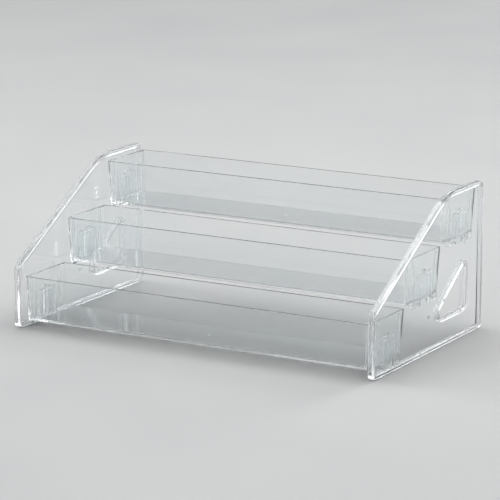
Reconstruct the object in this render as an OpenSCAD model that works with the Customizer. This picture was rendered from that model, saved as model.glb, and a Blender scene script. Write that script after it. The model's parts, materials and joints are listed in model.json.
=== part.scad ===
// Three-step shelf riser: two clear side panels carry three clear trays.
// Each tray hangs on a T-shaped rail inside each panel and lifts straight up.
// Millimetres. X runs along the trays, the front faces -Y and Z is up.
// The origin is on the floor at the middle of the footprint.

/* [Overall] */
// Length over both side panels
riser_w = 400; // [300:1:500]
// Depth from front to back
riser_d = 230; // [220:1:260]
// Height at the back
riser_h = 149; // [140:1:180]

/* [Side panel] */
// Height of the upright front edge
front_h = 63; // [55:0.5:75]
// Distance from the front to where the slope line meets the top line
slope_run = 151; // [140:0.5:170]
// Width of the rim along X
rim_w = 7; // [6.4:0.1:7.2]
// Thickness of the rim seen from the side
rim_t = 4; // [2.5:0.1:6]
// Thickness of the flat plate inside the rim
plate_t = 2.3; // [1.5:0.1:3]
// Distance the plate sits behind the rim's inner edge
plate_set = 2.9; // [2.8:0.1:3.4]
// Corner radius at the foot of the front edge
r_foot_front = 5; // [4.5:0.5:8]
// Corner radius where the front edge meets the slope
r_front = 11; // [6:1:20]
// Large blend radius where the slope meets the top
r_brow = 88; // [60:1:100]
// Corner radius at the top of the back edge
r_top_back = 8; // [5:0.5:12]
// Corner radius at the foot of the back edge
r_foot_back = 5; // [4.5:0.5:8]

/* [Hand hole] */
// Distance from the front to the hole's sharp end, before rounding
hole_front = 121; // [112:0.5:125]
// Distance from the front to the hole's upright side
hole_back = 194; // [185:0.5:205]
// Height of the hole's lower side
hole_low = 28; // [20:0.5:35]
// Height of the hole's top corner, before rounding
hole_high = 76.5; // [65:0.5:82]
// Corner radius at the hole's sharp front end
r_hole_front = 6.5; // [5:0.5:8]
// Corner radius at the hole's low back corner
r_hole_back = 6; // [4:0.5:8]
// Corner radius at the hole's top corner
r_hole_top = 4.5; // [3:0.5:8]
// Thickness of the collar round the hole
collar_t = 3.4; // [2:0.1:5]

/* [Trays] */
// Distance from the riser's side to the end of each tray's rim
end_gap = 9.2; // [9:0.1:10]
// Depth over the tray's rim
tray_d = 71; // [60:0.5:74]
// Height of the tray from the underside of its floor
tray_h = 44.4; // [40:0.1:44.6]
// How much each end wall leans in towards the floor
draft_x = 2.6; // [2.2:0.1:3]
// How much the front and back walls lean in towards the floor
draft_y = 1.9; // [1:0.1:4]
// Thickness of the walls and floor
tray_wall = 2.4; // [1.6:0.1:3]
// Radius of the upright corners
tray_r = 1.4; // [1:0.1:4]
// Distance from the panel's front edge to the lowest tray's rim
tray_y0 = 4.8; // [4.2:0.1:8]
// Height of the lowest tray's floor underside
tray_z0 = 7.4; // [6:0.1:12]
// Step back from one tray to the next
step_y = 76.2; // [75:0.1:80]
// Step up from one tray to the next
step_z = 44.9; // [44:0.1:55]

/* [Tray hangers] */
// Width of the open channel on each end wall
chan_w = 27.6; // [27:0.2:28]
// Distance the channel and its rail sit behind the middle of the end wall
chan_y = 2.3; // [0:0.1:3]
// Height of the channel's closed top above the floor underside
chan_h = 26; // [20:0.5:28]
// Thickness of the channel's sides and closed top
chan_t = 2.2; // [1.6:0.1:2.6]
// Thickness of the two lips that hold the rail
lip_t = 1.4; // [1.2:0.1:1.6]
// Width of the slot between the lips
slot_w = 5; // [4:0.1:8]
// Distance the hangers reach below the floor underside
foot_drop = 4.8; // [3:0.1:5]
// Distance of each tall rib from the middle of the end wall
rib_y = 24.2; // [22:0.1:28]
// Distance of the short rib in front of the middle of the end wall
short_rib_y = 15.4; // [14:0.1:18]
// Thickness of the ribs
rib_t = 1.8; // [1.4:0.1:2.4]
// Distance the tall ribs stop below the rim
rib_top = 2.4; // [1:0.1:10]
// Thickness of the foot bars that join the ribs and the channel
foot_t = 2.4; // [1.5:0.1:2.6]
// Radius of the round hump on the channel's closed top
hump_r = 4.9; // [4:0.1:6]
// How far the hump stands above the closed top
hump_h = 3; // [2:0.1:4]

/* [Rails] */
// Width of the rail's head
rail_head = 22; // [18:0.1:22.4]
// Thickness of the rail's head
rail_t = 1.2; // [1:0.1:1.3]
// Thickness of the web that joins the head to the plate
rail_web = 3.8; // [3:0.1:3.9]

/* [Gate marks] */
// Radius of the round gate mark on each panel
panel_gate_r = 1.8; // [1:0.1:3]
// Height of that mark above the hand hole's lower side
panel_gate_up = 7.5; // [0:0.5:15]
// Radius of the round gate mark under each tray
tray_gate_r = 2; // [1:0.1:3]
// How far the gate marks stand out
gate_h = 0.6; // [0.3:0.1:0.8]

/* [Hidden] */
$fn = 64;
// How far cutters run past what they cut
past = 1;
// How far joined solids run into each other
bite = 0.1;
// Degrees between the points of a rounded corner
arc_step = 5;
// Side clearance between a tray's lips and the panels' rims
lift_gap = 0.3;
// Clearance between a rail's head and the channel
rail_gap = 0.2;
// How far the ribs stop short of the channel's lips
rib_set = 0.5;
// How far the short rib stops below the channel's closed top
short_rib_top = 0.6;
// Distance the foot bars start outside the ribs' roots
foot_set = 1.2;
// Radius of the corners inside a tray
inner_r = 1.2;
// Smallest radius left on a corner that shrinks
least_r = 0.8;
x_out = riser_w / 2;
x_rim = x_out - rim_w;
x_plate = x_rim + plate_set;
x_lip = x_rim - lift_gap;
x_rib = x_lip - rib_set;
x_head = x_lip - lip_t - rail_gap;
top_z = chan_h - chan_t - rail_gap;
tray_l = riser_w - 2 * end_gap;

OUTLINE = [
    [0, 0],
    [riser_d, 0],
    [riser_d, riser_h],
    [slope_run, riser_h],
    [0, front_h]
];
OUTLINE_R = [r_foot_front, r_foot_back, r_top_back, r_brow, r_front];
HOLE = [
    [hole_front, hole_low],
    [hole_back, hole_low],
    [hole_back, hole_high]
];
HOLE_R = [r_hole_front, r_hole_back, r_hole_top];

function unit(v) = v / norm(v);
function turn_out(v) = [v[1], -v[0]];
function at(list, i) = list[(i + len(list)) % len(list)];
function edge_dir(pts, i) = unit(at(pts, i + 1) - at(pts, i));

// Corner i of a shape whose sides have all moved outwards by d
function grown_corner(pts, i, d) =
    let (a = edge_dir(pts, i - 1), b = edge_dir(pts, i), c = 1 + a * b)
    pts[i] + (turn_out(a) + turn_out(b)) * d / c;
function grown(pts, d) = [for (i = [0 : len(pts) - 1]) grown_corner(pts, i, d)];
function grown_r(radii, d) = [for (r = radii) max(r + d, least_r)];

// Points along the round of radius r at corner i
function turned(v, a) = [v[0] * cos(a) - v[1] * sin(a), v[0] * sin(a) + v[1] * cos(a)];
function corner_arc(pts, i, r) =
    let (
        a = edge_dir(pts, i - 1),
        turn = acos(a * edge_dir(pts, i)),
        start = pts[i] - a * r * tan(turn / 2),
        middle = start - turn_out(a) * r,
        steps = ceil(turn / (r > 20 ? arc_step / 2 : arc_step))
    )
    [for (k = [0 : steps]) middle + turned(start - middle, turn * k / steps)];

// A flat shape with rounded corners, listed anticlockwise
module rounded(pts, radii) {
    polygon([for (i = [0 : len(pts) - 1]) each corner_arc(pts, i, radii[i])]);
}

// Stands a side-view shape up at x, thick along +X, with y counted from the front
module upright(x, thick) {
    translate([x, -riser_d / 2, 0])
    rotate([90, 0, 90])
    linear_extrude(height = thick)
    children();
}

module rail(i) {
    y = tray_y0 + tray_d / 2 + i * step_y - riser_d / 2 + chan_y;
    z = tray_z0 + i * step_z;
    low = max(z - foot_drop, rim_t);
    high = z + top_z;
    translate([x_head - rail_t, y - rail_head / 2, low])
    cube([rail_t, rail_head, high - low]);
    translate([x_head - bite, y - rail_web / 2, low])
    cube([x_plate - x_head + 2 * bite, rail_web, high - low]);
}

// The right-hand panel; the left-hand one is its mirror image
module panel() {
    difference() {
        upright(x_rim, rim_w) rounded(OUTLINE, OUTLINE_R);
        upright(x_rim - past, rim_w + 2 * past)
        rounded(grown(OUTLINE, -rim_t), grown_r(OUTLINE_R, -rim_t));
    }
    difference() {
        union() {
            upright(x_plate, plate_t)
            rounded(grown(OUTLINE, -rim_t / 4), grown_r(OUTLINE_R, -rim_t / 4));
            upright(x_rim, rim_w) rounded(grown(HOLE, collar_t), grown_r(HOLE_R, collar_t));
        }
        upright(x_rim - past, rim_w + 2 * past) rounded(HOLE, HOLE_R);
    }
    for (i = [0 : 2]) {
        rail(i);
    }
    // Round gate mark on the plate's outer face
    translate([x_plate + plate_t - bite, 0, hole_low + panel_gate_up])
    rotate([0, 90, 0])
    cylinder(r = panel_gate_r, h = gate_h);
}

// Leaning block with rounded upright corners
module leaning_block(l_low, d_low, r_low, l_high, d_high, r_high, z_low, z_high) {
    hull() {
        for (sx = [-1, 1], sy = [-1, 1]) {
            translate([sx * (l_low / 2 - r_low), sy * (d_low / 2 - r_low), z_low])
            cylinder(r = r_low, h = 0.01, $fn = 24);
            translate([sx * (l_high / 2 - r_high), sy * (d_high / 2 - r_high), z_high - 0.01])
            cylinder(r = r_high, h = 0.01, $fn = 24);
        }
    }
}

// Open channel that hooks over a rail on the right-hand panel
module channel(x_in) {
    inner_w = chan_w - 2 * chan_t;
    difference() {
        union() {
            translate([x_in, -chan_w / 2, -foot_drop])
            cube([x_lip - x_in, chan_w, chan_h + foot_drop]);
            // Low round hump on the closed top
            intersection() {
                translate([x_in, 0, chan_h + hump_h - hump_r])
                rotate([0, 90, 0])
                cylinder(r = hump_r, h = x_lip - x_in);
                translate([x_in, -hump_r, chan_h - bite])
                cube([x_lip - x_in, 2 * hump_r, hump_h + 2 * bite]);
            }
        }
        translate([x_in - past, -inner_w / 2, -foot_drop - past])
        cube([x_lip - lip_t - x_in + past, inner_w, chan_h - chan_t + foot_drop + past]);
        translate([x_lip - lip_t - past, -slot_w / 2, -foot_drop - past])
        cube([lip_t + 2 * past, slot_w, chan_h - chan_t + foot_drop + past]);
    }
}

// Upright rib on the right-hand end wall, centred on y
module rib(x_in, y, top) {
    translate([x_in, y - rib_t / 2, -foot_drop])
    cube([x_rib - x_in, rib_t, top + foot_drop]);
}

// Flat bar along the bottom of the hanger, from y0 to y1
module foot_bar(x_in, y0, y1) {
    translate([x_in, y0, -foot_drop])
    cube([x_rib - x_in, y1 - y0, foot_t]);
}

// Everything on the right-hand end wall that carries the tray
module hanger() {
    x_in = tray_l / 2 - draft_x - tray_wall / 2;
    translate([0, chan_y, 0]) channel(x_in);
    rib(x_in, -rib_y, tray_h - rib_top);
    rib(x_in, rib_y, tray_h - rib_top);
    rib(x_in, -short_rib_y, chan_h - short_rib_top);
    foot_bar(x_in + foot_set, -rib_y, chan_y - chan_w / 2 + chan_t / 2);
    foot_bar(x_in + foot_set, chan_y + chan_w / 2 - chan_t / 2, rib_y);
}

module tray(i) {
    l_low = tray_l - 2 * draft_x;
    d_low = tray_d - 2 * draft_y;
    lean_x = 2 * draft_x * tray_wall / tray_h;
    lean_y = 2 * draft_y * tray_wall / tray_h;
    wall = 2 * tray_wall;
    translate([0, tray_y0 + tray_d / 2 + i * step_y - riser_d / 2, tray_z0 + i * step_z])
    difference() {
        union() {
            leaning_block(l_low, d_low, tray_r, tray_l, tray_d, tray_r, 0, tray_h);
            hanger();
            mirror([1, 0, 0]) hanger();
            // Round gate mark under the floor
            translate([0, 0, -gate_h]) cylinder(r = tray_gate_r, h = gate_h + bite);
        }
        leaning_block(l_low - wall + lean_x, d_low - wall + lean_y, inner_r,
            tray_l - wall + lean_x, tray_d - wall + lean_y, inner_r, tray_wall, tray_h + tray_wall);
    }
}

module side_panel_left() {
    color([0.86, 0.93, 0.96, 0.35]) mirror([1, 0, 0]) panel();
}

module side_panel_right() {
    color([0.86, 0.93, 0.96, 0.35]) panel();
}

module tray_lower() {
    color([0.9, 0.95, 0.97, 0.3]) tray(0);
}

module tray_middle() {
    color([0.9, 0.95, 0.97, 0.3]) tray(1);
}

module tray_upper() {
    color([0.9, 0.95, 0.97, 0.3]) tray(2);
}

side_panel_left();
side_panel_right();
tray_lower();
tray_middle();
tray_upper();
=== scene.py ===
"""Looks of the clear three-step shelf riser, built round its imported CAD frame."""

import json
import math

import bmesh
import bpy
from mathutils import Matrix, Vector

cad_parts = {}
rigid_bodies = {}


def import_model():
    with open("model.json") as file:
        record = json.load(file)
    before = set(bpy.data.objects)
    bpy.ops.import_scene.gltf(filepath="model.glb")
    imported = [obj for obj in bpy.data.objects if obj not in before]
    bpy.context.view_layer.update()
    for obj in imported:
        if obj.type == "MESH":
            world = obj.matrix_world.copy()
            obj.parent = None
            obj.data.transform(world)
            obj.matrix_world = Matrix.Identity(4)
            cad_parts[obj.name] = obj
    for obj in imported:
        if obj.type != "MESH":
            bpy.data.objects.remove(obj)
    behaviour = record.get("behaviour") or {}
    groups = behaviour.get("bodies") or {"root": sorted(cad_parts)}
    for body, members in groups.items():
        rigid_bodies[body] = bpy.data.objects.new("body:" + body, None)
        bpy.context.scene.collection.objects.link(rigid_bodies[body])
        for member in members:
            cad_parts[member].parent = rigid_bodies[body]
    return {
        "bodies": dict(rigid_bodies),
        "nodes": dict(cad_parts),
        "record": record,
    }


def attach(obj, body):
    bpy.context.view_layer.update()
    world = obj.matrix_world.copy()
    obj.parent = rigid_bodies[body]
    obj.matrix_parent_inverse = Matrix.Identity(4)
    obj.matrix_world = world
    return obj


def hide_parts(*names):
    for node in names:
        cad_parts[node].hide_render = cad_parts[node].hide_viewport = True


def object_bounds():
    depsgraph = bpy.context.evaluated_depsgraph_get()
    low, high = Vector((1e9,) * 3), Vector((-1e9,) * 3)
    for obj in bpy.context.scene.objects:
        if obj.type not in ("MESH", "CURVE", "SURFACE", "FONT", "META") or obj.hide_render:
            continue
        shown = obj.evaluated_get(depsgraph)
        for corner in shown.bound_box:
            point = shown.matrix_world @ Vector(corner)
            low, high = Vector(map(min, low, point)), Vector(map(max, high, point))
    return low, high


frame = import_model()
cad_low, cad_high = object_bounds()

MM = 0.001

# Camera, measured round the middle of the riser
AZIMUTH = math.radians(29.8)
ELEVATION = math.radians(13.05)
DISTANCE = 2.783
LENS = 203.5
AIM_OFFSET = Vector((0.0012, 0.0017, 0.0037))

# Rounding of the moulded edges
PANEL_EDGE = 0.45 * MM
TRAY_EDGE = 0.4 * MM

# Corners sharper than SHARP_FROM are rounded; faces flatter than FLAT_BELOW are joined
SHARP_FROM = math.radians(24)
FLAT_BELOW = math.radians(0.6)
SAME_POINT = 0.002 * MM

# Round gate marks: on each panel's outer face, and under each tray's floor
PANEL_GATE_Y = 0
PANEL_GATE_Z = 35.5 * MM
GATE_REACH = 2.2 * MM
TRAY_FLOOR = 2.4 * MM

# Outer face of a panel's plate, which lies inside its rim
PLATE_OUTSIDE = cad_high.x - 1.75 * MM

# The plastic's refraction, how rough its worn parts are, and how deep its relief is
PLASTIC_IOR = 1.53
SCRATCH_ROUGHNESS = 0.16
EDGE_ROUGHNESS = 0.05
GATE_ROUGHNESS = 0.55
FLOW_DEPTH = 0.04 * MM
GRAIN_DEPTH = 0.001 * MM
SCRATCH_DEPTH = 0.002 * MM

SHELVES = [m for m in frame["record"]["mounts"] if m["name"].startswith("shelf_")]

# The floor's half width, and its gap below the riser
FLOOR_REACH = 9
FLOOR_GAP = 0.3 * MM

centre = (cad_low + cad_high) / 2
scene = bpy.context.scene


# ---------------------------------------------------------------- helpers


def direction(azimuth, elevation):
    """Unit vector from the riser towards a place round it; azimuth 0 is the front."""
    return Vector(
        (
            math.sin(azimuth) * math.cos(elevation),
            -math.cos(azimuth) * math.cos(elevation),
            math.sin(elevation),
        )
    )


def aimed(obj, place, target):
    obj.location = place
    obj.rotation_mode = "QUATERNION"
    obj.rotation_quaternion = (target - place).to_track_quat("-Z", "Y")


def link(obj):
    scene.collection.objects.link(obj)
    return obj


# ---------------------------------------------------------------- camera


def make_camera():
    data = bpy.data.cameras.new("camera")
    data.lens = LENS
    data.sensor_width = 36
    data.clip_start = 0.05
    data.clip_end = 60
    camera = link(bpy.data.objects.new("camera", data))
    aim = centre + AIM_OFFSET
    aimed(camera, aim + direction(AZIMUTH, ELEVATION) * DISTANCE, aim)
    scene.camera = camera


make_camera()


# ---------------------------------------------------------------- materials


class Nodes:
    """Short calls for building a node tree."""

    def __init__(self, name):
        self.material = bpy.data.materials.new(name)
        self.material.use_nodes = True
        self.tree = self.material.node_tree
        self.shader = self.tree.nodes["Principled BSDF"]
        self.place = self.add("ShaderNodeTexCoord").outputs["Object"]

    def add(self, kind, **settings):
        node = self.tree.nodes.new(kind)
        for key, value in settings.items():
            setattr(node, key, value)
        return node

    def join(self, source, target):
        self.tree.links.new(source, target)

    def stretched(self, scale, turn=(0, 0, 0)):
        node = self.add("ShaderNodeMapping")
        node.inputs["Scale"].default_value = scale
        node.inputs["Rotation"].default_value = turn
        self.join(self.place, node.inputs["Vector"])
        return node.outputs["Vector"]

    def noise(self, where, scale, detail=3, roughness=0.5, distortion=0):
        node = self.add("ShaderNodeTexNoise")
        node.inputs["Scale"].default_value = scale
        node.inputs["Detail"].default_value = detail
        node.inputs["Roughness"].default_value = roughness
        node.inputs["Distortion"].default_value = distortion
        self.join(where, node.inputs["Vector"])
        return node.outputs["Fac"]

    def spread(self, value, low, high, to_low, to_high):
        node = self.add("ShaderNodeMapRange", clamp=True)
        node.inputs["From Min"].default_value = low
        node.inputs["From Max"].default_value = high
        node.inputs["To Min"].default_value = to_low
        node.inputs["To Max"].default_value = to_high
        self.join(value, node.inputs["Value"])
        return node.outputs["Result"]

    def maths(self, operation, a, b):
        node = self.add("ShaderNodeMath", operation=operation)
        for socket, value in zip(node.inputs, (a, b)):
            if isinstance(value, (int, float)):
                socket.default_value = value
            else:
                self.join(value, socket)
        return node.outputs["Value"]

    def between(self, amount, low, high):
        node = self.add("ShaderNodeMix", data_type="RGBA")
        ends = {"A": low, "B": high}
        for socket in node.inputs:
            if socket.type == "RGBA":
                socket.default_value = (*ends[socket.name], 1)
        self.join(amount, node.inputs["Factor"])
        return next(s for s in node.outputs if s.type == "RGBA")

    def bump(self, height, depth, before=None):
        node = self.add("ShaderNodeBump")
        node.inputs["Strength"].default_value = 1
        node.inputs["Distance"].default_value = depth
        self.join(height, node.inputs["Height"])
        if before is not None:
            self.join(before, node.inputs["Normal"])
        return node.outputs["Normal"]


def clear_plastic(name, tint, cloudy, flow):
    """Polished clear moulding: faint flow waves, hairline scratches and hazy patches."""
    n = Nodes(name)
    s = n.shader.inputs
    s["Transmission Weight"].default_value = 1
    s["IOR"].default_value = PLASTIC_IOR
    s["Metallic"].default_value = 0

    # Slow haze where hands and jars have rubbed the surface
    haze = n.noise(n.place, 14, 4, 0.6)
    smears = n.noise(n.stretched((9, 30, 60), (0.2, 0.1, 0.4)), 3, 3, 0.55, 0.6)
    # Hairline scratches along and across the piece
    long_lines = n.noise(n.stretched((6, 700, 700)), 1.5, 2)
    cross_lines = n.noise(n.stretched((600, 8, 500), (0.3, 0.2, 0.1)), 1.5, 2)
    scratches = n.maths(
        "MAXIMUM",
        n.spread(long_lines, 0.66, 0.72, 0, 1),
        n.spread(cross_lines, 0.67, 0.73, 0, 1),
    )
    # Rubbed edges turn faintly frosty
    edge = n.spread(n.add("ShaderNodeNewGeometry").outputs["Pointiness"], 0.53, 0.62, 0, 1)

    # The broken-off gate is matt
    gate = n.add("ShaderNodeAttribute", attribute_name="gate").outputs["Fac"]

    patchy = n.maths(
        "ADD",
        n.spread(haze, 0.35, 0.7, 0.002, 0.012),
        n.spread(smears, 0.5, 0.75, 0, 0.02),
    )
    worn = n.maths(
        "ADD",
        n.maths("MULTIPLY", scratches, SCRATCH_ROUGHNESS),
        n.maths("MULTIPLY", edge, EDGE_ROUGHNESS),
    )
    matt = n.maths("MULTIPLY", gate, GATE_ROUGHNESS)
    n.join(n.maths("MAXIMUM", n.maths("ADD", patchy, worn), matt), s["Roughness"])
    n.join(n.between(n.spread(haze, 0.3, 0.75, 0, 1), tint, cloudy), s["Base Color"])

    waves = n.noise(n.stretched(flow), 1, 2, 0.4)
    normal = n.bump(waves, FLOW_DEPTH)
    normal = n.bump(n.noise(n.place, 300, 2), GRAIN_DEPTH, normal)
    n.join(n.bump(scratches, SCRATCH_DEPTH, normal), s["Normal"])
    return n.material


PLASTIC = {
    "panel_clear": clear_plastic(
        "panel_plastic", (0.975, 0.988, 0.99), (0.945, 0.972, 0.98), (5, 26, 26)
    ),
    "tray_clear": clear_plastic(
        "tray_plastic", (0.98, 0.99, 0.99), (0.952, 0.976, 0.982), (9, 30, 30)
    ),
}


def floor_material():
    n = Nodes("floor_paint")
    grain = n.noise(n.place, 5, 4)
    paint = n.between(n.spread(grain, 0.3, 0.7, 0, 1), (0.5, 0.5, 0.5), (0.52, 0.52, 0.515))
    n.join(paint, n.shader.inputs["Base Color"])
    n.join(n.spread(grain, 0.3, 0.7, 0.55, 0.65), n.shader.inputs["Roughness"])
    return n.material


# ---------------------------------------------------------------- pieces


def body_of(node):
    return next(b for b, o in frame["bodies"].items() if frame["nodes"][node].parent is o)


def on_panel_gate(centre_of_face):
    """True for a face on the small disc that stands on a panel's outer face."""
    aside = Vector((centre_of_face.y - PANEL_GATE_Y, centre_of_face.z - PANEL_GATE_Z))
    return aside.length < GATE_REACH and abs(centre_of_face.x) > PLATE_OUTSIDE


def on_tray_gate(centre_of_face):
    """True for a face on the small disc under the middle of a tray's floor."""
    for mount in SHELVES:
        x, y, z = mount["pos_m"]
        aside = Vector((centre_of_face.x - x, centre_of_face.y - y))
        depth = z - centre_of_face.z
        if aside.length < GATE_REACH and TRAY_FLOOR < depth < 2 * TRAY_FLOOR:
            return True
    return False


def moulded(node, edge, on_gate):
    """Rebuilds a node as one clean moulding with rounded edges, and shows it instead."""
    source = frame["nodes"][node]
    mesh = bmesh.new()
    mesh.from_mesh(source.data)
    bmesh.ops.remove_doubles(mesh, verts=mesh.verts, dist=SAME_POINT)
    bmesh.ops.dissolve_limit(
        mesh, angle_limit=FLAT_BELOW, verts=mesh.verts, edges=mesh.edges, delimit=set()
    )
    bmesh.ops.recalc_face_normals(mesh, faces=mesh.faces)
    data = bpy.data.meshes.new(f"{node}_moulding")
    mesh.to_mesh(data)
    mesh.free()
    piece = link(bpy.data.objects.new(f"{node}_moulding", data))
    gate = data.attributes.new("gate", "FLOAT", "FACE")
    for polygon in data.polygons:
        polygon.use_smooth = True
        gate.data[polygon.index].value = float(on_gate(polygon.center))

    bevel = piece.modifiers.new("rounded_edges", "BEVEL")
    bevel.width = edge
    bevel.segments = 3
    bevel.limit_method = "ANGLE"
    bevel.angle_limit = SHARP_FROM
    bevel.use_clamp_overlap = False
    bevel.harden_normals = False
    normals = piece.modifiers.new("even_faces", "WEIGHTED_NORMAL")
    normals.weight = 80

    slot = next(r["material_slot"] for r in frame["record"]["subparts"] if r["node"] == node)
    data.materials.append(PLASTIC[slot])
    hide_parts(node)
    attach(piece, body_of(node))
    return piece


for name in ("side_panel_left", "side_panel_right"):
    moulded(name, PANEL_EDGE, on_panel_gate)
for name in ("tray_lower", "tray_middle", "tray_upper"):
    moulded(name, TRAY_EDGE, on_tray_gate)


# ---------------------------------------------------------------- studio


def make_floor():
    data = bpy.data.meshes.new("floor")
    z = cad_low.z - FLOOR_GAP
    sides = ((-1, -1), (1, -1), (1, 1), (-1, 1))
    corners = [(x * FLOOR_REACH, y * FLOOR_REACH, z) for x, y in sides]
    data.from_pydata(corners, [], [(0, 1, 2, 3)])
    data.materials.append(floor_material())
    link(bpy.data.objects.new("floor", data))


def soft_light(name, azimuth, elevation, distance, width, height, power):
    data = bpy.data.lights.new(name, "AREA")
    data.shape = "RECTANGLE"
    data.size = width
    data.size_y = height
    data.energy = power
    light = link(bpy.data.objects.new(name, data))
    place = centre + direction(math.radians(azimuth), math.radians(elevation)) * distance
    aimed(light, place, centre)


def make_world():
    world = bpy.data.worlds.new("studio")
    world.use_nodes = True
    world.node_tree.nodes["Background"].inputs["Color"].default_value = (0.95, 0.975, 1, 1)
    world.node_tree.nodes["Background"].inputs["Strength"].default_value = 0.45
    scene.world = world


make_floor()
make_world()
soft_light("overhead", 180, 78, 1.8, 1.9, 1.4, 20)
soft_light("left_window", -85, 27, 5, 2.6, 2.6, 120)
soft_light("back_rim", 168, 24, 5, 1.6, 3.4, 110)
soft_light("front_fill", 12, 35, 4, 2, 1.4, 16)

# Light runs a long way inside the clear walls before it leaves at an edge
scene.cycles.max_bounces = 64
scene.cycles.glossy_bounces = 48
scene.cycles.transmission_bounces = 48
scene.cycles.transparent_max_bounces = 16
scene.view_settings.view_transform = "Standard"
